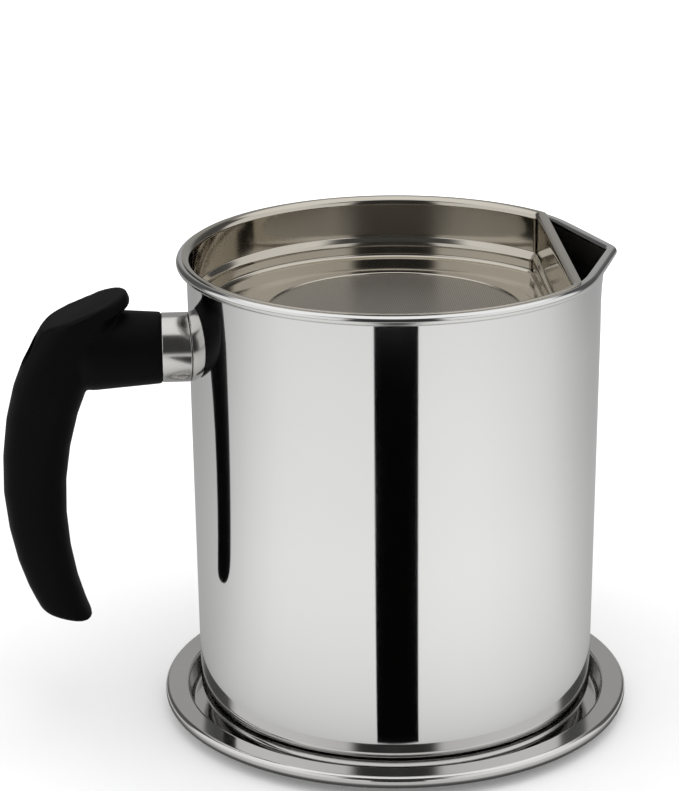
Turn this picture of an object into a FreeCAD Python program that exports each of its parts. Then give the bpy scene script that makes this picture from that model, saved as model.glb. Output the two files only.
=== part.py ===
import FreeCAD, Part
import math
import os
import Sketcher

# Grease pot with a strainer and a drip tray. Millimetres, +Z up.
# The origin is the middle of the tray's underside. The spout points to +X and the handle to -X.

document = FreeCAD.newDocument("grease_pot")
sheet = document.addObject("Spreadsheet::Sheet", "Sizes")


class Size:
    """A number together with the spreadsheet formula that gives it."""

    def __init__(self, value, formula):
        self.value = value
        self.formula = formula

    def __add__(self, other):
        other = as_size(other)
        return Size(self.value + other.value, f"({self.formula} + {other.formula})")

    def __sub__(self, other):
        other = as_size(other)
        return Size(self.value - other.value, f"({self.formula} - {other.formula})")

    def __mul__(self, other):
        other = as_size(other)
        return Size(self.value * other.value, f"{self.formula} * {other.formula}")

    def __truediv__(self, other):
        other = as_size(other)
        return Size(self.value / other.value, f"({self.formula} / ({other.formula}))")

    def __neg__(self):
        return Size(-self.value, f"(-1 * {self.formula})")


def as_size(number):
    """Let a plain number stand beside the named sizes."""
    if isinstance(number, Size):
        return number
    return Size(float(number), repr(float(number)))


def size(alias, value):
    """Write one driving size into the sheet's next row, under its own name."""
    row = sheet_rows["next"]
    sheet_rows["next"] = row + 1
    sheet.set(f"A{row}", alias)
    sheet.set(f"B{row}", str(value))
    sheet.setAlias(f"B{row}", alias)
    return Size(value, f"Sizes.{alias}")


def root(number):
    return Size(math.sqrt(number.value), f"sqrt({number.formula})")


def sine(angle):
    return Size(math.sin(math.radians(angle.value)), f"sin({angle.formula})")


def cosine(angle):
    return Size(math.cos(math.radians(angle.value)), f"cos({angle.formula})")


def arc_cosine(ratio):
    return Size(math.degrees(math.acos(ratio.value)), f"(acos({ratio.formula}) / 1 deg)")


sheet_rows = {"next": 1}

# Two lengths closer than this count as the same when edges are looked up.
same_place = 0.01

# Angles up a quarter round edge at which the moulded grip's sections are drawn.
rounding_angles = (0, 30, 60, 90)

# Drip tray: drawn sheet with a flat rim and a rolled edge.
tray_sheet = size("TraySheet", 0.6)
tray_clearance = size("TrayClearance", 2.35)
tray_height = size("TrayHeight", 7.4)
tray_lean = size("TrayLean", 1.9)
tray_rim_width = size("TrayRimWidth", 5.35)
tray_curl_radius = size("TrayCurlRadius", 2.15)
tray_curl_tail = size("TrayCurlTail", 0.9)
tray_bend = size("TrayBend", 1.2)

# Pot: drawn sheet, a little wider at the rim than at the foot, with a curled rim and a pressed spout.
pot_sheet = size("PotSheet", 0.6)
pot_height = size("PotHeight", 151.4)
pot_radius = size("PotRadius", 65.05)
pot_foot_radius = size("PotFootRadius", 63.45)
foot_bend = size("FootBend", 7.9)
base_recess_radius = size("BaseRecessRadius", 48)
base_recess_depth = size("BaseRecessDepth", 0.9)
base_recess_slope = size("BaseRecessSlope", 2.0)
rim_curl_radius = size("RimCurlRadius", 1.6)
rim_crest_width = size("RimCrestWidth", 0.55)
spout_reach = size("SpoutReach", 2.0)
spout_tip_radius = size("SpoutTipRadius", 3.0)
spout_side_angle = size("SpoutSideAngle", 20.2)
spout_shoulder_radius = size("SpoutShoulderRadius", 25)
spout_depth = size("SpoutDepth", 16)

# Strainer: a stepped cup with one flat side, hung in the rim by its flange.
strainer_sheet = size("StrainerSheet", 0.5)
strainer_clearance = size("StrainerClearance", 0.45)
flange_lap = size("FlangeLap", 1.95)
flange_chord = size("FlangeChord", 53.25)
flange_corner_radius = size("FlangeCornerRadius", 4)
chord_rim_width = size("ChordRimWidth", 2.65)
cup_corner_radius = size("CupCornerRadius", 4.0)
shoulder_bend = size("ShoulderBend", 2.3)
ledge_depth = size("LedgeDepth", 13.6)
ledge_width = size("LedgeWidth", 1.5)
chord_ledge_width = size("ChordLedgeWidth", 1.5)
ledge_bend = size("LedgeBend", 0.6)
ledge_edge_bend = size("LedgeEdgeBend", 0.8)
cup_depth = size("CupDepth", 20.1)
cup_floor_bend = size("CupFloorBend", 1.1)
screen_opening_radius = size("ScreenOpeningRadius", 41.5)
screen_lap = size("ScreenLap", 3.0)
screen_sheet = size("ScreenSheet", 0.3)
ring_inner_radius = size("RingInnerRadius", 40.6)
ring_foot_width = size("RingFootWidth", 0.8)
ring_height = size("RingHeight", 0.8)
ring_edge_round = size("RingEdgeRound", 0.25)
screen_slack = size("ScreenSlack", 0.2)

# Handle: a cup welded to the wall holds a nut, and a long screw draws the grip onto it.
handle_drop = size("HandleDrop", 29.15)
wall_gap = size("WallGap", 0.05)
ferrule_length = size("FerruleLength", 8.6)
ferrule_radius = size("FerruleRadius", 11.0)
ferrule_sheet = size("FerruleSheet", 1.1)
ferrule_edge = size("FerruleEdge", 0.3)
bracket_fit = size("BracketFit", 0.4)
bracket_sheet = size("BracketSheet", 1.5)
nut_width = size("NutWidth", 8.0)
nut_height = size("NutHeight", 4.0)
screw_radius = size("ScrewRadius", 2.5)
screw_length = size("ScrewLength", 40)
screw_tip_stand = size("ScrewTipStand", 0.8)
screw_fit = size("ScrewFit", 0.1)
screw_head_radius = size("ScrewHeadRadius", 4.6)
screw_head_height = size("ScrewHeadHeight", 3.5)
screw_head_round = size("ScrewHeadRound", 1.6)
cross_width = size("CrossWidth", 1.1)
cross_length = size("CrossLength", 4.8)
cross_depth = size("CrossDepth", 2.0)
washer_radius = size("WasherRadius", 5.0)
washer_sheet = size("WasherSheet", 1.0)
spring_washer_radius = size("SpringWasherRadius", 4.6)
spring_washer_sheet = size("SpringWasherSheet", 1.2)
spring_washer_split = size("SpringWasherSplit", 0.8)
spring_washer_fit = size("SpringWasherFit", 0.25)

# Grip: a moulded C that bows outwards, with a thumb rest over its neck.
spigot_length = size("SpigotLength", 0.8)
spigot_fit = size("SpigotFit", 0.1)
screw_bore_fit = size("ScrewBoreFit", 0.25)
screw_recess_radius = size("ScrewRecessRadius", 5.5)
neck_length = size("NeckLength", 26)
neck_radius = size("NeckRadius", 11.3)
neck_flare = size("NeckFlare", 1.9)
neck_round = size("NeckRound", 6.0)
grip_reach = size("GripReach", 60.1)
grip_reach_drop = size("GripReachDrop", 41.5)
grip_back_radius = size("GripBackRadius", 92.0)
finger_reach = size("FingerReach", 40.7)
finger_reach_drop = size("FingerReachDrop", 51.7)
finger_radius = size("FingerRadius", 104.5)
grip_drop = size("GripDrop", 88.4)
grip_rise = size("GripRise", 14.0)
grip_top_reach = size("GripTopReach", 22.0)
grip_top_width = size("GripTopWidth", 25.0)
grip_end_width = size("GripEndWidth", 20.0)
grip_round = size("GripRound", 6.5)
grip_end_tilt = size("GripEndTilt", 15.0)
grip_end_round = size("GripEndRound", 2.0)
thumb_reach = size("ThumbReach", 32.5)
thumb_rise = size("ThumbRise", 11.4)
thumb_tilt = size("ThumbTilt", 21.9)
thumb_length = size("ThumbLength", 29.2)
thumb_width = size("ThumbWidth", 24.4)
thumb_thickness = size("ThumbThickness", 4.5)
thumb_corner_radius = size("ThumbCornerRadius", 11.8)
thumb_round = size("ThumbRound", 2.0)
thumb_lip = size("ThumbLip", 2.9)
thumb_dish = size("ThumbDish", 0.4)

document.recompute()

# Worked-out places that more than one piece uses.
tray_well_radius = pot_foot_radius + tray_clearance
pot_floor = tray_sheet
rim_crest = pot_floor + pot_height
wall_top = pot_height - rim_curl_radius
wall_slope = (pot_radius - pot_foot_radius) / pot_height
pot_inner_radius = pot_radius - pot_sheet
handle_height = rim_crest - handle_drop
wall_at_handle = pot_foot_radius + wall_slope * (handle_height - pot_floor)
bracket_length = ferrule_length - spigot_length
bracket_radius = ferrule_radius - ferrule_sheet - bracket_fit
nut_seat = bracket_length - bracket_sheet
screw_head_seat = nut_seat - nut_height - screw_tip_stand + screw_length
spring_washer_seat = screw_head_seat - spring_washer_sheet
washer_seat = spring_washer_seat - washer_sheet
cup_radius = pot_inner_radius - strainer_clearance
cup_chord = flange_chord - chord_rim_width
well_radius = cup_radius - ledge_width
well_chord = cup_chord - chord_ledge_width
screen_radius = screen_opening_radius + screen_lap
ring_outer_radius = screen_radius + screen_slack + ring_foot_width


def polar(distance, angle):
    return distance * cosine(angle), distance * sine(angle)


def new_body(label):
    body = document.addObject("PartDesign::Body", label)
    body.Label = label
    return body


def new_sketch(body, name, role="XZ_Plane", **offset):
    """Attach a sketch to one of the body's own origin planes, moved by the bound offsets."""
    plane = [feature for feature in body.Origin.OriginFeatures if feature.Role == role][0]
    sketch = body.newObject("Sketcher::SketchObject", name)
    sketch.AttachmentSupport = [(plane, "")]
    sketch.MapMode = "FlatFace"
    for axis, amount in offset.items():
        sketch.setExpression(f"AttachmentOffset.Base.{axis}", as_size(amount).formula)
    return sketch


def tilt_sketch(sketch, angle, side):
    """Tilt a sketch's plane by a bound angle: side 1 raises its -X end, and side -1 its +X end."""
    turn = FreeCAD.Rotation(FreeCAD.Vector(0, side, 0), angle.value)
    sketch.AttachmentOffset = FreeCAD.Placement(FreeCAD.Vector(), turn)
    sketch.setExpression("AttachmentOffset.Rotation.Angle", angle.formula)


def bind(sketch, kind, *where, amount):
    """Add one dimension to a sketch and tie it to its formula."""
    index = sketch.addConstraint(Sketcher.Constraint(kind, *where, amount.value))
    sketch.setExpression(f"Constraints[{index}]", amount.formula)


def pin_point(sketch, edge, end, corner):
    """Hold the start or end of an edge at its place in the sketch."""
    across, up = as_size(corner[0]), as_size(corner[1])
    if across.formula == "0.0":
        sketch.addConstraint(Sketcher.Constraint("PointOnObject", edge, end, -2))
    else:
        bind(sketch, "DistanceX", -1, 1, edge, end, amount=across)
    if up.formula == "0.0":
        sketch.addConstraint(Sketcher.Constraint("PointOnObject", edge, end, -1))
    else:
        bind(sketch, "DistanceY", -1, 1, edge, end, amount=up)


def arc_between(first, last, radius, turn):
    """The short arc of a radius between two points: turn is 1 anticlockwise and -1 clockwise."""
    chord = last - first
    half = chord.Length / 2
    rise = math.sqrt(max(radius * radius - half * half, 0.0))
    side = FreeCAD.Vector(-chord.y, chord.x, 0).normalize()
    centre = (first + last) * 0.5 + side * (rise * turn)
    ends = [math.atan2(point.y - centre.y, point.x - centre.x) for point in (first, last)]
    if turn < 0:
        ends.reverse()
    circle = Part.Circle(centre, FreeCAD.Vector(0, 0, 1), radius)
    return Part.ArcOfCircle(circle, ends[0], ends[1])


def draw_outline(sketch, corners):
    """Draw a closed run of edges. A corner is (x, y) where a straight edge leaves it, and
    (x, y, radius, turn) where an arc leaves it."""
    starts = []
    ends = []
    for number, corner in enumerate(corners):
        after = corners[(number + 1) % len(corners)]
        first = FreeCAD.Vector(as_size(corner[0]).value, as_size(corner[1]).value, 0)
        last = FreeCAD.Vector(as_size(after[0]).value, as_size(after[1]).value, 0)
        if len(corner) == 2:
            edge = sketch.addGeometry(Part.LineSegment(first, last), False)
            starts.append((edge, 1))
            ends.append((edge, 2))
            continue
        radius = as_size(corner[2])
        turn = corner[3]
        edge = sketch.addGeometry(arc_between(first, last, radius.value, turn), False)
        bind(sketch, "Radius", edge, amount=radius)
        starts.append((edge, 1) if turn > 0 else (edge, 2))
        ends.append((edge, 2) if turn > 0 else (edge, 1))
    for number, (edge, end) in enumerate(starts):
        pin_point(sketch, edge, end, corners[number])
    for number, (edge, end) in enumerate(ends):
        following = starts[(number + 1) % len(starts)]
        sketch.addConstraint(Sketcher.Constraint("Coincident", edge, end, following[0], following[1]))


def draw_circle(sketch, radius):
    """Draw a circle round the sketch's origin."""
    circle = Part.Circle(FreeCAD.Vector(), FreeCAD.Vector(0, 0, 1), radius.value)
    edge = sketch.addGeometry(circle, False)
    sketch.addConstraint(Sketcher.Constraint("Coincident", edge, 3, -1, 1))
    bind(sketch, "Radius", edge, amount=radius)


def draw_rectangle(sketch, left, right, low, high):
    draw_outline(sketch, [(left, low), (right, low), (right, high), (left, high)])


def draw_round_rectangle(sketch, left, right, half_width, radius):
    """Draw a rectangle with rounded corners, even about the sketch's X axis."""
    near, far = left + radius, right - radius
    inner = half_width - radius
    draw_outline(sketch, [
        (near, -half_width), (far, -half_width, radius, 1),
        (right, -inner), (right, inner, radius, 1),
        (far, half_width), (near, half_width, radius, 1),
        (left, inner), (left, -inner, radius, 1),
    ])


def revolve(body, name, corners, axis="V_Axis", cut=False, **offset):
    """Turn a closed outline in the XZ plane round the sketch's own axis, as solid or as cut."""
    sketch = new_sketch(body, name + "_outline", **offset)
    draw_outline(sketch, corners)
    kind = "PartDesign::Groove" if cut else "PartDesign::Revolution"
    feature = body.newObject(kind, name)
    feature.Profile = sketch
    feature.ReferenceAxis = (sketch, [axis])
    feature.Angle = 360
    document.recompute()
    return feature


def pad(body, name, sketch, length, downwards=False):
    feature = body.newObject("PartDesign::Pad", name)
    feature.Profile = sketch
    feature.setExpression("Length", length.formula)
    feature.Reversed = downwards
    document.recompute()
    return feature


def pocket(body, name, sketch, depth=None, upwards=False):
    """Cut a sketch down to a depth, or both ways through everything where no depth is given."""
    feature = body.newObject("PartDesign::Pocket", name)
    feature.Profile = sketch
    if depth is None:
        feature.Type = "ThroughAll"
        feature.Midplane = True
    else:
        feature.setExpression("Length", depth.formula)
    feature.Reversed = upwards
    document.recompute()
    return feature


def loft(body, name, sketches, cut=False, ruled=True):
    kind = "PartDesign::SubtractiveLoft" if cut else "PartDesign::AdditiveLoft"
    feature = body.newObject(kind, name)
    feature.Profile = sketches[0]
    feature.Sections = sketches[1:]
    feature.Ruled = ruled
    document.recompute()
    return feature


def fillet(body, name, base, edges, radius):
    feature = body.newObject("PartDesign::Fillet", name)
    feature.Base = (base, edges)
    feature.setExpression("Radius", radius.formula)
    document.recompute()
    return feature


def circles_at(feature, radius, height):
    """Name the edges that are circles of a radius round Z at a height."""
    names = []
    for number, edge in enumerate(feature.Shape.Edges, 1):
        if not isinstance(edge.Curve, Part.Circle):
            continue
        same_radius = abs(edge.Curve.Radius - as_size(radius).value) < same_place
        same_height = abs(edge.Curve.Center.z - as_size(height).value) < same_place
        if same_radius and same_height:
            names.append(f"Edge{number}")
    return names


def edges_along(feature, outline):
    """Name the edges that run along a sketch's outline."""
    names = []
    for number, edge in enumerate(feature.Shape.Edges, 1):
        middle = edge.valueAt((edge.FirstParameter + edge.LastParameter) / 2)
        points = [vertex.Point for vertex in edge.Vertexes] + [middle]
        distances = [outline.Shape.distToShape(Part.Vertex(point))[0] for point in points]
        if max(distances) < same_place:
            names.append(f"Edge{number}")
    return names


def make_drip_tray():
    """The tray stands on its flat floor. Its low wall leans out to a flat rim that ends in a roll."""
    body = new_body("drip_tray")
    foot = tray_well_radius + tray_sheet
    lip = tray_well_radius + tray_lean
    curl = lip + tray_rim_width
    tail = curl - tray_curl_tail
    curl_middle = tray_height - tray_curl_radius
    curl_bottom = curl_middle - tray_curl_radius
    curl_inner = tray_curl_radius - tray_sheet
    rim_under = tray_height - tray_sheet
    section = revolve(body, "tray_section", [
        (0, 0), (foot, 0), (lip + tray_sheet, rim_under), (curl, rim_under, curl_inner, -1),
        (curl + curl_inner, curl_middle, curl_inner, -1), (curl, curl_bottom + tray_sheet),
        (tail, curl_bottom + tray_sheet), (tail, curl_bottom), (curl, curl_bottom, tray_curl_radius, 1),
        (curl + tray_curl_radius, curl_middle, tray_curl_radius, 1), (curl, tray_height),
        (lip, tray_height), (tray_well_radius, tray_sheet), (0, tray_sheet),
    ])
    outer_bend = tray_bend + tray_sheet
    outside = circles_at(section, foot, 0)
    outside += circles_at(section, lip, tray_height)
    rounded = fillet(body, "tray_outer_bends", section, outside, outer_bend)
    inside = circles_at(rounded, tray_well_radius, tray_sheet)
    inside += circles_at(rounded, lip + tray_sheet, rim_under)
    fillet(body, "tray_inner_bends", rounded, inside, tray_bend)
    return body


def spout_corners(inset):
    """Corners of the rim's outline, an inset inside the wall's outer face: the round wall, a flat
    side each way of the spout, and the spout's tip. Each flat side meets the wall in a soft bend."""
    wall = pot_radius - inset
    tip_radius = spout_tip_radius - inset
    bend = spout_shoulder_radius - inset
    tip_centre = pot_radius + spout_reach - spout_tip_radius
    side = tip_centre * cosine(spout_side_angle) + tip_radius
    bend_reach = wall - bend
    bend_angle = spout_side_angle + arc_cosine((side - bend) / bend_reach)
    wall_x, wall_y = polar(wall, bend_angle)
    bend_x, bend_y = polar(bend_reach, bend_angle)
    out_x, out_y = polar(bend, spout_side_angle)
    tip_x, tip_y = polar(tip_radius, spout_side_angle)
    side_x, side_y = bend_x + out_x, bend_y + out_y
    return [
        (-wall, 0, wall, 1), (wall_x, -wall_y, bend, 1), (side_x, -side_y),
        (tip_centre + tip_x, -tip_y, tip_radius, 1), (tip_centre + tip_x, tip_y),
        (side_x, side_y, bend, 1), (wall_x, wall_y, wall, 1),
    ]


def round_corners(inset, height):
    """The same number of corners as the rim's outline, spread along the round wall at a height."""
    wall = pot_foot_radius + wall_slope * height - inset
    corners = []
    for corner in spout_corners(inset):
        across, up = corner[0], as_size(corner[1])
        if up.formula == "0.0":
            corners.append((-wall, 0, wall, 1))
            continue
        scale = wall / root(across * across + up * up)
        corners.append((across * scale, up * scale, wall, 1))
    return corners


def make_pot_body():
    """The pot's drawn cup, the ring of wall that turns into the spout, and the curl along the rim."""
    body = new_body("pot_body")
    body.setExpression("Placement.Base.z", pot_floor.formula)
    spout_start = wall_top - spout_depth
    foot_radius = pot_foot_radius
    foot_inner = foot_radius + wall_slope * pot_sheet - pot_sheet
    start_radius = foot_radius + wall_slope * spout_start
    recess_top = base_recess_radius - base_recess_slope
    cup = revolve(body, "cup_section", [
        (0, base_recess_depth), (recess_top, base_recess_depth), (base_recess_radius, 0),
        (foot_radius, 0), (start_radius, spout_start), (start_radius - pot_sheet, spout_start),
        (foot_inner, pot_sheet), (base_recess_radius, pot_sheet),
        (recess_top, base_recess_depth + pot_sheet), (0, base_recess_depth + pot_sheet),
    ])
    outer = fillet(body, "foot_outside", cup, circles_at(cup, foot_radius, 0), foot_bend + pot_sheet)
    fillet(body, "foot_inside", outer, circles_at(outer, foot_inner, pot_sheet), foot_bend)
    for name, inset, cut in (("spout_outside", 0, False), ("spout_inside", pot_sheet, True)):
        low = new_sketch(body, name + "_low", "XY_Plane", z=spout_start)
        draw_outline(low, round_corners(inset, spout_start))
        high = new_sketch(body, name + "_high", "XY_Plane", z=wall_top)
        draw_outline(high, spout_corners(inset))
        loft(body, name, [low, high], cut)
    path = new_sketch(body, "curl_path", "XY_Plane", z=wall_top)
    draw_outline(path, spout_corners(pot_sheet))
    inner = rim_curl_radius - pot_sheet
    left = -pot_inner_radius
    crest = left - rim_curl_radius
    crest_end = crest - rim_crest_width
    profile = new_sketch(body, "curl_section")
    draw_outline(profile, [
        (left, wall_top, rim_curl_radius, 1), (crest, pot_height),
        (crest_end, pot_height, rim_curl_radius, 1),
        (crest_end - rim_curl_radius, wall_top, rim_curl_radius, 1),
        (crest_end, wall_top - rim_curl_radius), (crest_end, wall_top - inner, inner, -1),
        (crest_end - inner, wall_top, inner, -1), (crest_end, pot_height - pot_sheet),
        (crest, pot_height - pot_sheet, inner, -1), (crest + inner, wall_top),
    ])
    curl = body.newObject("PartDesign::AdditivePipe", "rim_curl")
    curl.Profile = profile
    curl.Spine = path
    document.recompute()
    return body


def flat_sided_corners(radius, chord, corner_radius):
    """Corners of a circle with one flat side across +X, joined by rounded corners."""
    reach = radius - corner_radius
    corner_x = chord - corner_radius
    angle = arc_cosine(corner_x / reach)
    round_x, round_y = polar(radius, angle)
    flat_y = reach * sine(angle)
    return [
        (-radius, 0, radius, 1), (round_x, -round_y, corner_radius, 1), (chord, -flat_y),
        (chord, flat_y, corner_radius, 1), (round_x, round_y, radius, 1),
    ]


def make_strainer_body():
    """A flange lies on the rim's crest, and the cup below it has a ledge and a lower, smaller well.
    The inside is cut one sheet inside the outside, and every bend has the same centre both sides."""
    body = new_body("strainer_body")
    body.setExpression("Placement.Base.z", rim_crest.formula)
    skin = strainer_sheet
    ledge = skin - ledge_depth
    ledge_under = ledge - skin
    floor_under = -cup_depth
    floor = floor_under + skin
    flange = new_sketch(body, "flange_outline", "XY_Plane")
    flange_radius = pot_inner_radius + flange_lap
    draw_outline(flange, flat_sided_corners(flange_radius, flange_chord, flange_corner_radius))
    pad(body, "flange", flange, skin)

    def outline(name, radius, chord, corner_radius, level):
        sketch = new_sketch(body, name, "XY_Plane", z=level)
        draw_outline(sketch, flat_sided_corners(radius, chord, corner_radius))
        return sketch

    outer_corner = cup_corner_radius + skin
    cup_out = outline("cup_outside", cup_radius, cup_chord, outer_corner, as_size(0))
    pad(body, "cup_block", cup_out, -ledge_under, downwards=True)
    well_out = outline("well_outside", well_radius, well_chord, outer_corner, ledge_under)
    block = pad(body, "well_block", well_out, ledge_under - floor_under, downwards=True)
    cup_foot = outline("cup_foot", cup_radius, cup_chord, outer_corner, ledge_under)
    well_foot = outline("well_foot", well_radius, well_chord, outer_corner, floor_under)
    block = fillet(body, "shoulder_under", block, edges_along(block, cup_out), shoulder_bend - skin)
    block = fillet(body, "ledge_under", block, edges_along(block, cup_foot), ledge_bend + skin)
    block = fillet(body, "ledge_edge_under", block, edges_along(block, well_out), ledge_edge_bend - skin)
    block = fillet(body, "floor_under", block, edges_along(block, well_foot), cup_floor_bend + skin)

    cup_in = outline("cup_inside", cup_radius - skin, cup_chord - skin, cup_corner_radius, skin)
    pocket(body, "cup_hollow", cup_in, ledge_depth)
    well_in = outline("well_inside", well_radius - skin, well_chord - skin, cup_corner_radius, ledge)
    cup = pocket(body, "well_hollow", well_in, ledge - floor)
    ledge_line = outline("ledge_line", cup_radius - skin, cup_chord - skin, cup_corner_radius, ledge)
    floor_line = outline("floor_line", well_radius - skin, well_chord - skin, cup_corner_radius, floor)
    cup = fillet(body, "shoulder", cup, edges_along(cup, cup_in), shoulder_bend)
    cup = fillet(body, "ledge", cup, edges_along(cup, ledge_line), ledge_bend)
    cup = fillet(body, "ledge_edge", cup, edges_along(cup, well_in), ledge_edge_bend)
    fillet(body, "floor_bend", cup, edges_along(cup, floor_line), cup_floor_bend)
    opening = new_sketch(body, "screen_opening", "XY_Plane", z=floor)
    draw_circle(opening, screen_opening_radius)
    pocket(body, "screen_hole", opening)
    return body


def make_strainer_screen():
    """The fine mesh is one thin disc on the strainer's floor, over its opening."""
    body = new_body("strainer_screen")
    body.setExpression("Placement.Base.z", (rim_crest - cup_depth + strainer_sheet).formula)
    disc = new_sketch(body, "screen_outline", "XY_Plane")
    draw_circle(disc, screen_radius)
    pad(body, "screen_disc", disc, screen_sheet)
    return body


def make_screen_ring():
    """A ring clamps the mesh: its outer foot is welded to the floor and its inner part lies on the mesh."""
    body = new_body("screen_ring")
    body.setExpression("Placement.Base.z", (rim_crest - cup_depth + strainer_sheet).formula)
    foot = screen_radius + screen_slack
    edge = ring_edge_round
    inner, outer, top = ring_inner_radius, ring_outer_radius, ring_height
    revolve(body, "ring_section", [
        (inner, screen_sheet), (foot, screen_sheet), (foot, 0), (outer, 0),
        (outer, top - edge, edge, 1), (outer - edge, top), (inner + edge, top, edge, 1),
        (inner, top - edge),
    ])
    return body


def new_handle_body(label):
    """A body on the handle's axis: its Z runs outwards from the pot's wall and its X points up."""
    body = new_body(label)
    turn = FreeCAD.Rotation(FreeCAD.Vector(0, 1, 0), -90)
    body.Placement = FreeCAD.Placement(FreeCAD.Vector(), turn)
    body.setExpression("Placement.Base.x", (-wall_at_handle).formula)
    body.setExpression("Placement.Base.z", handle_height.formula)
    return body


def tube_start(radius, sheet_thickness):
    """Where a tube's blank starts: just inside the wall, which curves away from the handle's axis."""
    wall = wall_at_handle
    return root(wall * wall - radius * radius) - wall - sheet_thickness


def cut_wall_seat(body, half_height):
    """Shape a tube's end to the pot's round, slightly leaning wall, with a small gap for the weld."""
    low = wall_gap - wall_slope * half_height
    high = wall_gap + wall_slope * half_height
    corners = [
        (-half_height, 0), (half_height, 0),
        (half_height, wall_at_handle + high), (-half_height, wall_at_handle + low),
    ]
    revolve(body, "wall_seat", corners, "H_Axis", cut=True, y=-wall_at_handle)


def make_handle_bracket():
    """The cup that is welded to the wall. Its far end has the hole for the screw."""
    body = new_handle_body("handle_bracket")
    bore = screw_radius + screw_fit
    inner = bracket_radius - bracket_sheet
    back = tube_start(bracket_radius, bracket_sheet)
    revolve(body, "bracket_section", [
        (inner, back), (bracket_radius, back), (bracket_radius, bracket_length),
        (bore, bracket_length), (bore, nut_seat), (inner, nut_seat),
    ])
    cut_wall_seat(body, bracket_radius + bracket_sheet)
    return body


def make_bracket_nut():
    """A hexagon nut, welded inside the bracket's far end."""
    body = new_handle_body("bracket_nut")
    outline = new_sketch(body, "nut_outline", "XY_Plane", z=nut_seat)
    half = nut_width * 0.5
    half_side_angle = as_size(30)
    corner = half / cosine(half_side_angle)
    side = corner * 0.5
    draw_outline(outline, [
        (corner, 0), (side, half), (-side, half), (-corner, 0), (-side, -half), (side, -half),
    ])
    pad(body, "nut_block", outline, nut_height, downwards=True)
    bore = new_sketch(body, "nut_bore_outline", "XY_Plane")
    draw_circle(bore, screw_radius + screw_fit)
    pocket(body, "nut_bore", bore)
    return body


def make_handle_ferrule():
    """The bright sleeve over the bracket, from the pot's wall to the grip's face."""
    body = new_handle_body("handle_ferrule")
    inner = ferrule_radius - ferrule_sheet
    back = tube_start(ferrule_radius, ferrule_sheet)
    revolve(body, "ferrule_section", [
        (inner, back), (ferrule_radius, back), (ferrule_radius, ferrule_length - ferrule_edge),
        (ferrule_radius - ferrule_edge, ferrule_length), (inner, ferrule_length),
    ])
    cut_wall_seat(body, ferrule_radius + ferrule_sheet)
    return body


def make_handle_screw():
    """A pan head screw: its shank ends in the nut and its cross recess faces outwards."""
    body = new_handle_body("handle_screw")
    top = screw_head_seat + screw_head_height
    tip = screw_head_seat - screw_length
    head = screw_head_radius
    revolve(body, "screw_section", [
        (0, tip), (screw_radius, tip), (screw_radius, screw_head_seat), (head, screw_head_seat),
        (head, top - screw_head_round, screw_head_round, 1), (head - screw_head_round, top), (0, top),
    ])
    half_length = cross_length * 0.5
    half_width = cross_width * 0.5
    cross = new_sketch(body, "cross_outline", "XY_Plane", z=top)
    draw_outline(cross, [
        (half_length, -half_width), (half_length, half_width), (half_width, half_width),
        (half_width, half_length), (-half_width, half_length), (-half_width, half_width),
        (-half_length, half_width), (-half_length, -half_width), (-half_width, -half_width),
        (-half_width, -half_length), (half_width, -half_length), (half_width, -half_width),
    ])
    pocket(body, "cross_recess", cross, cross_depth)
    return body


def make_screw_washer():
    body = new_handle_body("screw_washer")
    bore = screw_radius + screw_bore_fit
    revolve(body, "washer_section", [
        (bore, washer_seat), (washer_radius, washer_seat),
        (washer_radius, spring_washer_seat), (bore, spring_washer_seat),
    ])
    return body


def make_spring_washer():
    """The spring washer is split once, on its upper side."""
    body = new_handle_body("spring_washer")
    bore = screw_radius + spring_washer_fit
    revolve(body, "spring_section", [
        (bore, spring_washer_seat), (spring_washer_radius, spring_washer_seat),
        (spring_washer_radius, screw_head_seat), (bore, screw_head_seat),
    ])
    split = new_sketch(body, "split_outline", "XY_Plane")
    half = spring_washer_split * 0.5
    draw_rectangle(split, as_size(0), spring_washer_radius + half, -half, half)
    pocket(body, "split_cut", split)
    return body


def rounding(radius, angle):
    """Rise and inset of the point at an angle up a quarter round edge."""
    return radius * math.sin(math.radians(angle)), radius * (1 - math.cos(math.radians(angle)))


def bow(reach, drop, radius, height):
    """How far from the wall an arc of the grip's back or finger side stands at a height."""
    rise = height + drop
    return reach - radius + root(radius * radius - rise * rise)


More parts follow.
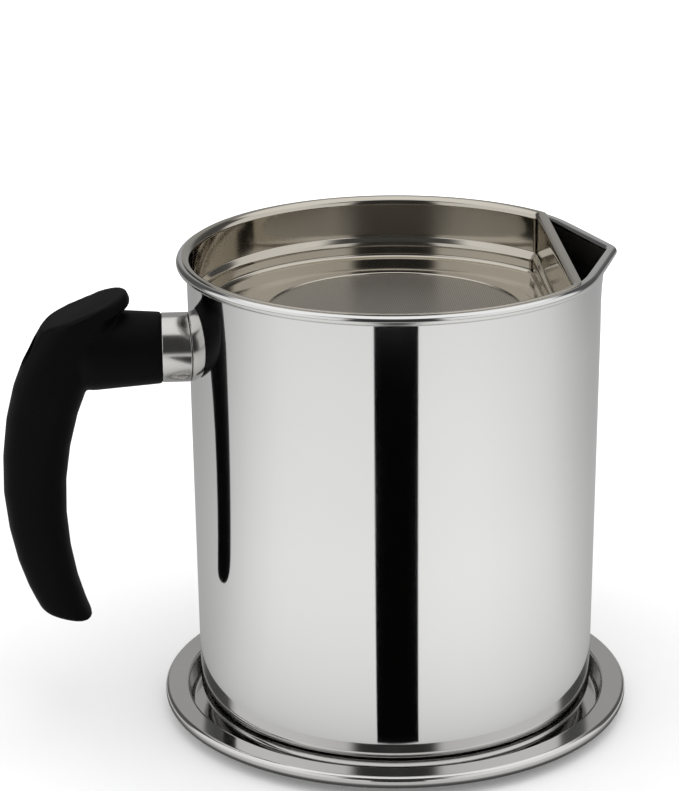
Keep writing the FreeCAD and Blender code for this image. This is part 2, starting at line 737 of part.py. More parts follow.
def make_handle_grip():
    """The moulded grip: a bowed body through rounded sections, the round neck, and the thumb rest.
    In this body X points at the pot, and the origin is where the neck's axis meets the wall."""
    body = new_body("handle_grip")
    body.setExpression("Placement.Base.x", (-wall_at_handle).formula)
    body.setExpression("Placement.Base.z", handle_height.formula)

    def grip_sides(height):
        back = bow(grip_reach, grip_reach_drop, grip_back_radius, height)
        return back, bow(finger_reach, finger_reach_drop, finger_radius, height)

    end_height = grip_end_round - grip_drop
    steps = 5
    sections = []
    for step in range(steps):
        height = grip_rise + (end_height - grip_rise) * (step / steps)
        half_width = (grip_top_width + (grip_end_width - grip_top_width) * (step / steps)) * 0.5
        back, front = grip_sides(height)
        if step == 0:
            front = grip_top_reach
        section = new_sketch(body, f"grip_section_{step + 1}", "XY_Plane", z=height)
        draw_round_rectangle(section, -back, -front, half_width, grip_round)
        sections.append(section)

    end_back, end_front = grip_sides(end_height)
    end_middle = (end_back + end_front) * 0.5
    end_half_length = (end_back - end_front) * 0.5 / cosine(grip_end_tilt)

    def end_section(name, angle):
        depth, inset = rounding(grip_end_round, angle)
        across = -end_middle - depth * sine(grip_end_tilt)
        sketch = new_sketch(body, name, "XY_Plane", x=across, z=end_height - depth * cosine(grip_end_tilt))
        tilt_sketch(sketch, grip_end_tilt, 1)
        half_length = end_half_length - inset
        half_width = grip_end_width * 0.5 - inset
        draw_round_rectangle(sketch, -half_length, half_length, half_width, grip_round - inset)
        return sketch

    end_sections = [end_section(f"grip_end_{angle}", angle) for angle in rounding_angles]
    loft(body, "grip_bow", sections + end_sections[:1], ruled=False)
    loft(body, "grip_end", end_sections)

    neck_end = ferrule_length + neck_length
    neck_end_radius = neck_radius + neck_flare
    spigot_radius = ferrule_radius - ferrule_sheet - spigot_fit
    revolve(body, "neck", [
        (-bracket_length, 0), (-bracket_length, spigot_radius), (-ferrule_length, spigot_radius),
        (-ferrule_length, neck_radius), (-neck_end, neck_end_radius, neck_round, 1),
        (-neck_end - neck_round, neck_end_radius - neck_round), (-neck_end - neck_round, 0),
    ], "H_Axis")

    trim = new_sketch(body, "top_trim_outline", "XY_Plane", x=-thumb_reach, z=thumb_rise)
    tilt_sketch(trim, thumb_tilt, -1)
    draw_rectangle(trim, -grip_reach, grip_reach, -grip_top_width, grip_top_width)
    pocket(body, "top_trim", trim, grip_reach, upwards=True)

    def thumb_section(name, level, inset):
        across = -thumb_reach - level * sine(thumb_tilt)
        sketch = new_sketch(body, name, "XY_Plane", x=across, z=thumb_rise + level * cosine(thumb_tilt))
        tilt_sketch(sketch, thumb_tilt, -1)
        half_length = thumb_length * 0.5 - inset
        half_width = thumb_width * 0.5 - inset
        draw_round_rectangle(sketch, -half_length, half_length, half_width, thumb_corner_radius - inset)
        return sketch

    flat_half = thumb_thickness * 0.5 - thumb_round
    plate = []
    for name, side, angles in (("under", -1, reversed(rounding_angles)), ("upper", 1, rounding_angles)):
        for angle in angles:
            rise, inset = rounding(thumb_round, angle)
            plate.append(thumb_section(f"thumb_{name}_{angle}", (flat_half + rise) * side, inset))
    loft(body, "thumb_rest", plate)
    dish = thumb_section("thumb_dish_outline", thumb_thickness * 0.5, thumb_lip)
    pocket(body, "thumb_hollow", dish, thumb_dish)

    bore = screw_radius + screw_bore_fit
    revolve(body, "screw_bore", [
        (0, 0), (0, bore), (-washer_seat, bore), (-washer_seat, screw_recess_radius),
        (-grip_reach, screw_recess_radius), (-grip_reach, 0),
    ], "H_Axis", cut=True)
    return body


def check(body):
    """Stop where a feature failed or a solid is not sound."""
    for feature in [body] + body.Group:
        if "Invalid" in feature.State or "Error" in feature.State:
            raise RuntimeError(f"{body.Label}: {feature.Name} failed: {feature.State}")
    if body.Shape.isNull() or not body.Shape.isValid():
        raise RuntimeError(f"{body.Label}: the shape is not sound")


pieces = [
    make_drip_tray(),
    make_pot_body(),
    make_strainer_body(),
    make_strainer_screen(),
    make_screen_ring(),
    make_handle_bracket(),
    make_bracket_nut(),
    make_handle_ferrule(),
    make_handle_screw(),
    make_screw_washer(),
    make_spring_washer(),
    make_handle_grip(),
]
document.recompute()
for piece in pieces:
    check(piece)
os.makedirs("parts", exist_ok=True)
for piece in pieces:
    piece.Shape.exportStep(f"parts/{piece.Label}.step")
    print(piece.Label, "solids:", len(piece.Shape.Solids))
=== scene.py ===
import math

import bmesh
import bpy
from mathutils import Matrix, Vector


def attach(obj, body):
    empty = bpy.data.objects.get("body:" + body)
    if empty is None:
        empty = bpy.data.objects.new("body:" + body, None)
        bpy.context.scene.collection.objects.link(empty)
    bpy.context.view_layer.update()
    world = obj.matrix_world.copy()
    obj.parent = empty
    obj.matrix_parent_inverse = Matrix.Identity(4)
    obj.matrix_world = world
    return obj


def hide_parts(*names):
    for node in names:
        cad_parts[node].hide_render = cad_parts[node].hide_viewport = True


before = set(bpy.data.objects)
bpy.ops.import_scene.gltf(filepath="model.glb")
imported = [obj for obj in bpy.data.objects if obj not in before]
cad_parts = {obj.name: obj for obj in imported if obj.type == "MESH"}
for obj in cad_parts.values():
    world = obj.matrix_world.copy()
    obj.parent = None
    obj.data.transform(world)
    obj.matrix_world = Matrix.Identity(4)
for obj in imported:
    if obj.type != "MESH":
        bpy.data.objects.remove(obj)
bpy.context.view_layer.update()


# Camera: a long lens on the pot's front, 19 degrees above it, with the handle to the left and the
# spout to the right. It takes in the whole pot and its tray, with white above the rim.
camera_data = bpy.data.cameras.new("studio_camera")
camera_data.sensor_width = 36
camera_data.lens = 129.59
camera = bpy.data.objects.new("studio_camera", camera_data)
camera.location = (-0.07384, -0.85256, 0.40051)
camera.rotation_euler = [math.radians(angle) for angle in (70.9253, 0.4669, -3.9424)]
bpy.context.scene.collection.objects.link(camera)
bpy.context.scene.camera = camera
bpy.context.scene.view_settings.view_transform = "Standard"


# Studio room: white walls on both sides, a dark opening in front, where the camera stands, a grey
# back wall with a dark corner on each side of it, and a wide softbox overhead. Only the steel sees
# the difference; the light itself comes evenly from all sides.
def to_linear(code):
    """A colour from its sRGB hex code, as the shaders read it."""
    values = [int(code[place:place + 2], 16) / 255 for place in (1, 3, 5)]
    linear = [v / 12.92 if v <= 0.04045 else ((v + 0.055) / 1.055) ** 2.4 for v in values]
    return (*linear, 1.0)


def add_node(tree, kind, settings=None, inputs=None):
    """Add one shader node. An input is a value, or the output socket that feeds it."""
    node = tree.nodes.new(kind)
    for name, value in (settings or {}).items():
        setattr(node, name, value)
    for name, value in (inputs or {}).items():
        if isinstance(value, bpy.types.NodeSocket):
            tree.links.new(value, node.inputs[name])
        else:
            node.inputs[name].default_value = value
    return node


def grey_steps(tree, place, steps):
    """A smooth line of grey levels along a value from 0 to 1: pairs of a place and its level."""
    ramp = add_node(tree, "ShaderNodeFloatCurve", inputs={"Value": place})
    line = ramp.mapping.curves[0]
    ramp.mapping.clip_max_y = 2.0
    for number, (along, level) in enumerate(steps):
        if number < 2:
            line.points[number].location = (along, level)
        else:
            line.points.new(along, level)
    ramp.mapping.update()
    return ramp.outputs[0]


camera_side = math.radians(-4.95)
room = bpy.data.worlds.new("studio_room")
room.use_nodes = True
tree = room.node_tree
tree.nodes.clear()
view = add_node(tree, "ShaderNodeTexCoord")
turned = add_node(tree, "ShaderNodeVectorRotate", {"rotation_type": "Z_AXIS"}, {
    "Vector": view.outputs["Generated"], "Angle": -camera_side})
parts = add_node(tree, "ShaderNodeSeparateXYZ", inputs={"Vector": turned.outputs[0]})
front = add_node(tree, "ShaderNodeMath", {"operation": "MULTIPLY"}, {
    0: parts.outputs["Y"], 1: -1.0})

# From 0 at the front horizon over the ceiling to 1 at the back horizon.
arch = add_node(tree, "ShaderNodeMath", {"operation": "ARCTAN2"}, {
    0: parts.outputs["Z"], 1: front.outputs[0]})
arch_place = add_node(tree, "ShaderNodeMath", {"operation": "DIVIDE"}, {
    0: arch.outputs[0], 1: math.pi})
overhead = grey_steps(tree, arch_place.outputs[0], [
    (0.0, 0.09), (0.31, 0.09), (0.34, 1.1), (0.72, 1.1), (0.76, 0.3), (1.0, 0.3)])

# From 0 at the camera's side to 1 behind the pot, the same both ways round.
aside = add_node(tree, "ShaderNodeMath", {"operation": "ABSOLUTE"}, {0: parts.outputs["X"]})
turn = add_node(tree, "ShaderNodeMath", {"operation": "ARCTAN2"}, {
    0: aside.outputs[0], 1: front.outputs[0]})
turn_place = add_node(tree, "ShaderNodeMath", {"operation": "DIVIDE"}, {
    0: turn.outputs[0], 1: math.pi})
all_round = grey_steps(tree, turn_place.outputs[0], [
    (0.0, 0.05), (0.11, 0.06), (0.17, 0.9), (0.60, 0.95), (0.66, 0.13), (0.83, 0.13),
    (0.91, 0.38), (1.0, 0.41)])

high = add_node(tree, "ShaderNodeMapRange", {"interpolation_type": "SMOOTHSTEP"}, {
    "Value": parts.outputs["Z"], "From Min": 0.62, "From Max": 0.74})
mirrored = add_node(tree, "ShaderNodeMix", inputs={
    "Factor": high.outputs[0], 2: all_round, 3: overhead})
rays = add_node(tree, "ShaderNodeLightPath")
level = add_node(tree, "ShaderNodeMix", inputs={
    "Factor": rays.outputs["Is Glossy Ray"], 2: 1.0, 3: mirrored.outputs[0]})
walls = add_node(tree, "ShaderNodeBackground", inputs={
    "Color": to_linear("#FFFFFF"), "Strength": level.outputs[0]})
add_node(tree, "ShaderNodeOutputWorld", inputs={"Surface": walls.outputs[0]})
bpy.context.scene.world = room


# Floor: one wide round board, painted matt white. Seen directly it carries the pot's soft shadow,
# with painted shade near the pot, and rises to white further out. Mirrored in steel it is a painted
# glow: bright in front, falling off to the sides and behind, and darkened at the foot by a painted
# shadow.
def new_material(name):
    """A material with an empty node tree."""
    material = bpy.data.materials.new(name)
    material.use_nodes = True
    material.node_tree.nodes.clear()
    return material


def new_piece(name, form, *materials):
    """Turn a finished bmesh into a smooth-shaded object at the origin."""
    mesh = bpy.data.meshes.new(name)
    form.to_mesh(mesh)
    form.free()
    mesh.shade_smooth()
    for material in materials:
        mesh.materials.append(material)
    piece = bpy.data.objects.new(name, mesh)
    bpy.context.scene.collection.objects.link(piece)
    return piece


board = new_material("white_painted_board")
tree = board.node_tree
place = add_node(tree, "ShaderNodeTexCoord")
rays = add_node(tree, "ShaderNodeLightPath")
distance = add_node(tree, "ShaderNodeVectorMath", {"operation": "LENGTH"}, {
    0: place.outputs["Object"]})

# Matt paint over fibre board: an even white without shine, and a glow that only the eye sees.
# The glow is weaker near the pot, so it paints shade round the pot on top of its real shadow.
fibre = add_node(tree, "ShaderNodeTexNoise", inputs={
    "Vector": place.outputs["Object"], "Scale": 9.0, "Detail": 3.0})
tone = add_node(tree, "ShaderNodeMix", {"data_type": "RGBA"}, {
    "Factor": fibre.outputs["Fac"], 6: to_linear("#E6E6E6"), 7: to_linear("#EAEAEA")})
paint = add_node(tree, "ShaderNodeBsdfDiffuse", inputs={"Color": tone.outputs[2]})
glow_dimmed_near_pot = add_node(tree, "ShaderNodeMapRange", inputs={
    "Value": distance.outputs["Value"], "From Min": 0.10, "From Max": 0.60,
    "To Min": 0.12, "To Max": 0.60})
seen = add_node(tree, "ShaderNodeMath", {"operation": "MAXIMUM"}, {
    0: rays.outputs["Is Camera Ray"], 1: rays.outputs["Is Transmission Ray"]})
glow_level = add_node(tree, "ShaderNodeMath", {"operation": "MULTIPLY"}, {
    0: glow_dimmed_near_pot.outputs[0], 1: seen.outputs[0]})
glow = add_node(tree, "ShaderNodeEmission", inputs={"Strength": glow_level.outputs[0]})
painted_board = add_node(tree, "ShaderNodeAddShader", inputs={
    0: paint.outputs[0], 1: glow.outputs[0]})

# Its mirror image is a glow, painted in place of the lit board. Round the pot: 0.5 is the camera's
# side, and 0 and 1 are behind the pot, where the glow is painted darker as shade.
turned = add_node(tree, "ShaderNodeVectorRotate", {"rotation_type": "Z_AXIS"}, {
    "Vector": place.outputs["Object"], "Angle": math.radians(90) - camera_side})
round_pot = add_node(tree, "ShaderNodeTexGradient", {"gradient_type": "RADIAL"}, {
    "Vector": turned.outputs[0]})
side_fall = grey_steps(tree, round_pot.outputs["Fac"], [
    (0.0, 0.45), (0.05, 0.40), (0.08, 0.42), (0.17, 0.56), (0.225, 0.69), (0.25, 0.78),
    (0.31, 0.98), (0.35, 1.05), (0.5, 1.06), (0.6, 1.11), (0.65, 1.08), (0.69, 1.03),
    (0.73, 0.96), (0.78, 0.80), (0.83, 0.64), (0.88, 0.53), (0.92, 0.49), (0.97, 0.50),
    (1.0, 0.45)])

# Its mirror image away from the pot: 0 to 1 is 0 to 250 mm from the axis. Near the foot and the
# tray the glow is painted dark, as a painted shadow of the pot.
outwards = add_node(tree, "ShaderNodeMath", {"operation": "MULTIPLY"}, {
    0: distance.outputs["Value"], 1: 4.0})
painted_foot_shadow = grey_steps(tree, outwards.outputs[0], [
    (0.0, 0.06), (0.30, 0.08), (0.335, 0.60), (0.40, 0.78), (0.55, 0.92), (0.80, 1.0),
    (1.0, 1.0)])
mirrored = add_node(tree, "ShaderNodeMath", {"operation": "MULTIPLY"}, {
    0: side_fall, 1: painted_foot_shadow})
painted_mirror_glow = add_node(tree, "ShaderNodeEmission", inputs={"Strength": mirrored.outputs[0]})
floor_surface = add_node(tree, "ShaderNodeMixShader", inputs={
    0: rays.outputs["Is Glossy Ray"], 1: painted_board.outputs[0], 2: painted_mirror_glow.outputs[0]})
add_node(tree, "ShaderNodeOutputMaterial", inputs={"Surface": floor_surface.outputs[0]})
form = bmesh.new()
bmesh.ops.create_circle(form, cap_ends=True, segments=96, radius=3.0)
new_piece("floor", form, board)


# Softboxes: one overhead and one to each side, outside the view. They only give the light a little
# direction, so the steel doesn't see them.
for name, stand, width, height, power in (
        ("top_softbox", (0.10, -0.15, 1.30), 1.0, 1.0, 3.0),
        ("left_softbox", (-1.30, -0.50, 0.80), 0.8, 1.2, 2.0),
        ("right_softbox", (1.30, -0.60, 0.70), 0.8, 1.2, 2.0)):
    lamp_data = bpy.data.lights.new(name, "AREA")
    lamp_data.shape = "RECTANGLE"
    lamp_data.size = width
    lamp_data.size_y = height
    lamp_data.energy = power
    lamp = bpy.data.objects.new(name, lamp_data)
    lamp.location = stand
    aim = Vector((0, 0, 0.08)) - Vector(stand)
    lamp.rotation_euler = aim.to_track_quat("-Z", "Y").to_euler()
    lamp.visible_glossy = False
    bpy.context.scene.collection.objects.link(lamp)


# Black flag: a strip of cloth that only polished steel sees. It lies in front of the pot, out to the
# camera, wider further out, and gives the pot's wall its dark stripe.
flag_corners = [(-9.7, -86.5, 1), (12.9, -86.5, 1), (112, -520, 1), (-95, -520, 1)]

# Dull black cloth: it swallows the light, so its mirror image is plain black.
flag_cloth = new_material("black_flag_cloth")
cloth = add_node(flag_cloth.node_tree, "ShaderNodeBsdfDiffuse", inputs={
    "Color": to_linear("#050505")})
add_node(flag_cloth.node_tree, "ShaderNodeOutputMaterial", inputs={"Surface": cloth.outputs[0]})
form = bmesh.new()
verts = [form.verts.new(Vector(corner) / 1000) for corner in flag_corners]
bmesh.ops.contextual_create(form, geom=verts)
bmesh.ops.rotate(form, cent=(0, 0, 0), matrix=Matrix.Rotation(camera_side, 3, "Z"), verts=verts)
flag = new_piece("floor_flag", form, flag_cloth)
flag.visible_camera = False
flag.visible_diffuse = False
flag.visible_shadow = False
flag.visible_transmission = False


# Drip tray: one round blank of thin stainless steel, pressed to a shallow well with a flat rim whose
# edge is rolled under, then polished. The pot stands loose on its floor.
def bend_line(form, corners, segments=8):
    """Join corners (distance from the axis, height, bend) in millimetres with a line of edges, and
    round each corner. A bend is the length that the rounding takes from each side of its corner."""
    verts = [form.verts.new((across / 1000, 0, height / 1000)) for across, height, bend in corners]
    for first, last in zip(verts, verts[1:]):
        form.edges.new((first, last))
    for vert, (across, height, bend) in zip(verts, corners):
        if bend:
            bmesh.ops.bevel(form, geom=[vert], offset=bend / 1000, segments=segments, profile=0.5,
                            affect="VERTICES", material=-1)


def spin_round(form, steps):
    """Spin everything in the form once round Z, and close its seam and its middle."""
    bmesh.ops.spin(form, geom=form.verts[:] + form.edges[:], cent=(0, 0, 0), axis=(0, 0, 1),
                   angle=math.tau, steps=steps, use_merge=True)
    bmesh.ops.remove_doubles(form, verts=form.verts, dist=1e-6)
    bmesh.ops.recalc_face_normals(form, faces=form.faces)


def keep_flats(piece):
    """Let flat faces look flat, also beside a small bend."""
    flat = piece.modifiers.new("flat_faces_stay_flat", "WEIGHTED_NORMAL")
    flat.keep_sharp = True


def give_sheet(piece, thickness):
    """Give a pressed skin its thickness in millimetres, half each way, and deburr its edges."""
    sheet = piece.modifiers.new("sheet", "SOLIDIFY")
    sheet.thickness = thickness / 1000
    sheet.offset = 0
    sheet.use_even_offset = True
    edge = piece.modifiers.new("deburred_edge", "BEVEL")
    edge.width = 0.2 * thickness / 1000
    edge.segments = 2
    edge.limit_method = "ANGLE"
    edge.angle_limit = math.radians(60)
    keep_flats(piece)


def steel_finish(name, light, dark, stretch, line_mm, line_depth_mm, smooth, rough, smudge_mm):
    """Steel with fine lines from its last working. stretch is their direction: small along a line
    and 1 across it. Smudges make the surface a little duller here and there. Such lines are usually
    finer than 0.1 mm, and they are drawn wider apart so that they still show."""
    material = new_material(name)
    tree = material.node_tree
    place = add_node(tree, "ShaderNodeTexCoord")
    along = add_node(tree, "ShaderNodeMapping", inputs={
        "Vector": place.outputs["Object"], "Scale": stretch})
    lines = add_node(tree, "ShaderNodeTexNoise", inputs={
        "Vector": along.outputs[0], "Scale": 1000 / line_mm, "Detail": 4.0, "Roughness": 0.6})
    smudge = add_node(tree, "ShaderNodeTexNoise", inputs={
        "Vector": place.outputs["Object"], "Scale": 1000 / smudge_mm, "Detail": 5.0})
    colour = add_node(tree, "ShaderNodeMix", {"data_type": "RGBA"}, {
        "Factor": smudge.outputs["Fac"], 6: to_linear(light), 7: to_linear(dark)})
    dull = add_node(tree, "ShaderNodeMix", inputs={
        "Factor": smudge.outputs["Fac"], 2: smooth, 3: rough})
    worn = add_node(tree, "ShaderNodeMath", {"operation": "MULTIPLY_ADD"}, {
        0: lines.outputs["Fac"], 1: (rough - smooth) * 0.5, 2: dull.outputs[0]})
    relief = add_node(tree, "ShaderNodeBump", inputs={
        "Strength": 1.0, "Distance": line_depth_mm / 1000, "Height": lines.outputs["Fac"]})
    steel = add_node(tree, "ShaderNodeBsdfPrincipled", inputs={
        "Base Color": colour.outputs[2], "Metallic": 1.0, "Roughness": worn.outputs[0],
        "Normal": relief.outputs[0]})
    add_node(tree, "ShaderNodeOutputMaterial", inputs={"Surface": steel.outputs[0]})
    return material


tray_sheet = 0.6
well_radius = 66.7
rim_radius = 74.9
rim_height = 7.1
lines_round_z = (0.03, 0.03, 1.0)

# Polished after pressing: a slightly soft mirror, with faint lines round the tray.
tray_steel = steel_finish("polished_steel_tray", "#D6D5D3", "#CFCECC", stretch=lines_round_z,
                          line_mm=0.7, line_depth_mm=0.0001, smooth=0.09, rough=0.14, smudge_mm=22)
form = bmesh.new()
bend_line(form, [
    (0, tray_sheet / 2, 0), (20, tray_sheet / 2, 0), (45, tray_sheet / 2, 0),
    (well_radius, tray_sheet / 2, 1.2), (well_radius + 1.2, rim_height, 0.8),
    (71, rim_height - 0.05, 0), (rim_radius, rim_height, 1.1), (rim_radius, 3.4, 1.8),
    (72.15, 3.4, 0),
])
spin_round(form, 224)
drip_tray = new_piece("drip_tray_pressed", form, tray_steel)
give_sheet(drip_tray, tray_sheet)
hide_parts("drip_tray")
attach(drip_tray, "tray")


# Pot: a cup drawn from stainless sheet and mirror polished outside, with a rounded foot, a base that
# is pressed up a little, and a rim curled outwards. The spout is pressed out of the wall last, and
# the inside keeps the softer shine of the rolled sheet.
pot_sheet = 0.6
wall_radius = 65.05
foot_radius = 63.45
wall_height = 151.4
wall_lean = (wall_radius - foot_radius) / wall_height
base_press = 0.9
foot_height = tray_sheet + pot_sheet / 2
base_height = foot_height + base_press
spout_start = 126.4
curl_start = 150.4
curl_radius = 67.9
curl_depth = 2.6
rim_top = 151.7


def wall_place(height):
    """A corner in the middle of the wall's sheet, at a height above the ground."""
    return foot_radius + wall_lean * (height - tray_sheet) - pot_sheet / 2, height, 0


def spout_radius(angle):
    """Where the rim's wall stands at an angle from the spout: its round tip, a flat side, a wide
    bend, and then the round of the pot."""
    angle = abs(angle)
    tip_centre, tip_round, side_bend = 62.05, 5.0, 50.0
    side_turn, tip_end, side_end, bend_end = [
        math.radians(turn) for turn in (20.2, 1.48, 26.68, 48.7)]
    if angle < tip_end:
        across = tip_centre * math.sin(angle)
        return tip_centre * math.cos(angle) + math.sqrt(tip_round ** 2 - across ** 2)
    if angle < side_end:
        return (tip_centre * math.cos(side_turn) + tip_round) / math.cos(angle - side_turn)
    if angle < bend_end:
        reach, turn = wall_radius - side_bend, angle - bend_end
        across = reach * math.sin(turn)
        return reach * math.cos(turn) + math.sqrt(side_bend ** 2 - across ** 2)
    return wall_radius


# Mirror polished on a wheel: clear images and hardly any lines.
pot_steel = steel_finish("mirror_polished_steel", "#DADAD9", "#D6D6D5", stretch=lines_round_z,
                         line_mm=0.8, line_depth_mm=0.0002, smooth=0.035, rough=0.06, smudge_mm=45)

# Rolled and drawn, but not polished: a bright satin that blurs what it mirrors.
satin_steel = steel_finish("satin_steel_inside", "#D2D1CE", "#CBCAC7", stretch=lines_round_z,
                           line_mm=0.5, line_depth_mm=0.001, smooth=0.19, rough=0.26, smudge_mm=30)
form = bmesh.new()
bend_line(form, [
    (0, base_height, 0), (20, base_height, 0), (46, base_height, 0.7), (48, foot_height, 0.7),
    (foot_radius - pot_sheet / 2, foot_height, 8.1),
    *[wall_place(height) for height in (30, 60, 90, 110)],
    *[wall_place(spout_start + step * 2) for step in range(12)],
    (wall_radius - pot_sheet / 2, rim_top, 1.3), (curl_radius, rim_top, 1.3),
    (curl_radius, rim_top - curl_depth, 1.3), (66.6, rim_top - curl_depth, 0),
])
spin_round(form, 288)

# The press shapes the spout from nothing at its start to its full form at the curl, and it eases
# in. The mesh's columns are pulled to the spout first, because the wall turns most sharply there.
column_pull, press_ease = 0.85, 1.6
for vert in form.verts:
    radius = math.hypot(vert.co.x, vert.co.y)
    if radius < 1e-6:
        continue
    angle = math.atan2(vert.co.y, vert.co.x)
    angle -= column_pull * math.sin(angle)
    press = min(max((vert.co.z * 1000 - spout_start) / (curl_start - spout_start), 0.0), 1.0)
    radius += press ** press_ease * (spout_radius(angle) - wall_radius) / 1000
    vert.co.x = radius * math.cos(angle)
    vert.co.y = radius * math.sin(angle)

# The drawn skin becomes the inside: slot 0 on the wall and slot 2 on the curl. The outside that the
# sheet adds takes the next slot, 1 or 3.
for face in form.faces:
    if face.calc_center_median().z * 1000 > curl_start:
        face.material_index = 2
pot_body = new_piece("pot_body_drawn", form, satin_steel, pot_steel, pot_steel, pot_steel)
give_sheet(pot_body, pot_sheet)
pot_body.modifiers["sheet"].material_offset = 1
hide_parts("pot_body")
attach(pot_body, "pot")


# Handle bracket and nut: a plain steel cup welded to the wall inside the ferrule, with a hexagon nut
# welded in its end. Both are hidden once the handle is on.
def dress_nodes(names, material):
    """Give carried-over nodes a material."""
    for name in names:
        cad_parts[name].data.materials.clear()
        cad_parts[name].data.materials.append(material)


# Rolled and left plain: a dull grey with short lines.
plain_steel = steel_finish("plain_rolled_steel", "#B4B3B0", "#A3A29F", stretch=(1, 0.1, 1),
                           line_mm=0.4, line_depth_mm=0.002, smooth=0.28, rough=0.42, smudge_mm=6)
dress_nodes(("handle_bracket", "bracket_nut"), plain_steel)


# Ferrule: a short turned steel sleeve that hides the bracket. Its edges are rounded a little, and
# its inner end is cut to the round of the pot's wall.
def crisp_edges(form, angle):
    """Shade each edge that turns by more than an angle, in degrees, as a sharp one."""
    for edge in form.edges:
        edge.smooth = edge.calc_face_angle(0) < math.radians(angle)


wall_at_handle = 64.743
handle_height = 122.85
ferrule_radius = 11.0
ferrule_bore = 9.9
ferrule_length = 8.6
ferrule_edge = 0.4
weld_gap = 0.05

# A round piece of the handle is spun round Z, and then Z is laid outwards from the pot's wall.
handle_place = (Matrix.Translation((-wall_at_handle / 1000, 0, handle_height / 1000))
                @ Matrix.Rotation(math.radians(-90), 4, "Y"))

# Turned on a lathe and polished: fine rings round the sleeve blur its mirror image a little.
turned_steel = steel_finish("turned_steel_ferrule", "#C9C8C5", "#BDBCB9", stretch=(1, 0.02, 0.02),
                            line_mm=0.12, line_depth_mm=0.0006, smooth=0.14, rough=0.20,
                            smudge_mm=9)
form = bmesh.new()
bend_line(form, [
    (ferrule_bore, 0, 0), (ferrule_radius, 0, ferrule_edge),
    (ferrule_radius, ferrule_length / 2, 0), (ferrule_radius, ferrule_length, ferrule_edge),
    (ferrule_bore, ferrule_length, 0), (ferrule_bore, ferrule_length / 2, 0), (ferrule_bore, 0, 0),
], segments=4)
bmesh.ops.remove_doubles(form, verts=form.verts, dist=1e-6)
spin_round(form, 128)
reach = wall_at_handle / 1000
for vert in form.verts:
    if vert.co.z * 1000 < ferrule_length / 4:
        round_of_wall = math.sqrt(reach ** 2 - vert.co.y ** 2) - reach
        vert.co.z += round_of_wall + weld_gap / 1000 + wall_lean * vert.co.x
bmesh.ops.transform(form, matrix=handle_place, verts=form.verts)
crisp_edges(form, 50)
handle_ferrule = new_piece("handle_ferrule_turned", form, turned_steel)
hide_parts("handle_ferrule")
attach(handle_ferrule, "pot")


# Grip: one solid moulding in black phenolic plastic: a bowed C with soft sides, a round neck, and an
# oval thumb rest whose lip stands over the neck. It is bored for the long screw from its back.
def evaluated_form(piece):
    """The shape of a working piece with its modifiers done, as a new bmesh. The piece is removed."""
    bpy.context.view_layer.update()
    done = piece.evaluated_get(bpy.context.evaluated_depsgraph_get())
    form = bmesh.new()
    form.from_mesh(done.to_mesh())
    bpy.data.objects.remove(piece)
    return form


def of_kind(kind, results):
    """The vertices, edges or faces among an operator's results."""
    return [item for item in results if isinstance(item, kind)]


def square_up(verts, outer, inner):
    """Square up a unit circle: 2 leaves it round, and more is squarer. outer is for the half that
    faces away from the pot, and inner for the half that faces it."""
    for vert in verts:
        power = outer if vert.co.x < 0 else inner
        vert.co /= (abs(vert.co.x) ** power + abs(vert.co.y) ** power) ** (1 / power)


# Moulded in an etched die: deep black, with a fine matt grain that only lets a faint sheen show.
# Such a grain is usually near 0.1 mm, and it is drawn coarser so that it still shows.
phenolic = new_material("black_phenolic_plastic")
tree = phenolic.node_tree
grain_mm, grain_depth_mm, haze_mm = 0.35, 0.02, 14
place = add_node(tree, "ShaderNodeTexCoord")
grain = add_node(tree, "ShaderNodeTexNoise", inputs={
    "Vector": place.outputs["Object"], "Scale": 1000 / grain_mm, "Detail": 3.0})
haze = add_node(tree, "ShaderNodeTexNoise", inputs={
    "Vector": place.outputs["Object"], "Scale": 1000 / haze_mm, "Detail": 4.0})
tone = add_node(tree, "ShaderNodeMix", {"data_type": "RGBA"}, {
    "Factor": haze.outputs["Fac"], 6: to_linear("#040405"), 7: to_linear("#080808")})
gloss = add_node(tree, "ShaderNodeMapRange", inputs={
    "Value": haze.outputs["Fac"], "To Min": 0.42, "To Max": 0.56})
skin = add_node(tree, "ShaderNodeBump", inputs={
    "Strength": 1.0, "Distance": grain_depth_mm / 1000, "Height": grain.outputs["Fac"]})
moulded = add_node(tree, "ShaderNodeBsdfPrincipled", inputs={
    "Base Color": tone.outputs[2], "Roughness": gloss.outputs[0], "IOR": 1.5,
    "Specular IOR Level": 0.055, "Normal": skin.outputs[0]})
add_node(tree, "ShaderNodeOutputMaterial", inputs={"Surface": moulded.outputs[0]})

# The bow's sections from its top to its tip, in millimetres from the middle of the ferrule's foot:
# the back (outwards, up), the finger side (outwards, up) and half the width.
bow_sections = [
    ((37.6, 19.0), (20.5, 24.5), 11.7),
    ((42.0, 13.3), (21.3, 17.0), 12.0),
    ((45.6, 8.0), (22.3, 11.5), 12.3),
    ((48.8, 2.5), (25.0, 4.5), 12.4),
    ((52.1, -4.0), (28.3, -3.5), 12.5),
    ((55.1, -11.6), (32.5, -11.3), 12.4),
    ((57.7, -22.0), (36.0, -20.5), 11.5),
    ((59.25, -34.0), (38.8, -31.5), 10.8),
    ((59.6, -46.0), (40.5, -43.0), 10.4),
    ((58.4, -58.0), (40.8, -54.5), 10.1),
    ((56.1, -69.0), (39.9, -66.0), 9.8),
    ((53.3, -77.5), (38.0, -76.5), 9.6),
    ((51.3, -82.0), (35.6, -84.8), 9.5),
    ((49.9, -84.9), (34.2, -88.6), 9.3),
    ((48.7, -86.2), (33.8, -90.0), 8.8),
    ((44.8, -88.1), (35.8, -90.8), 7.0),
]

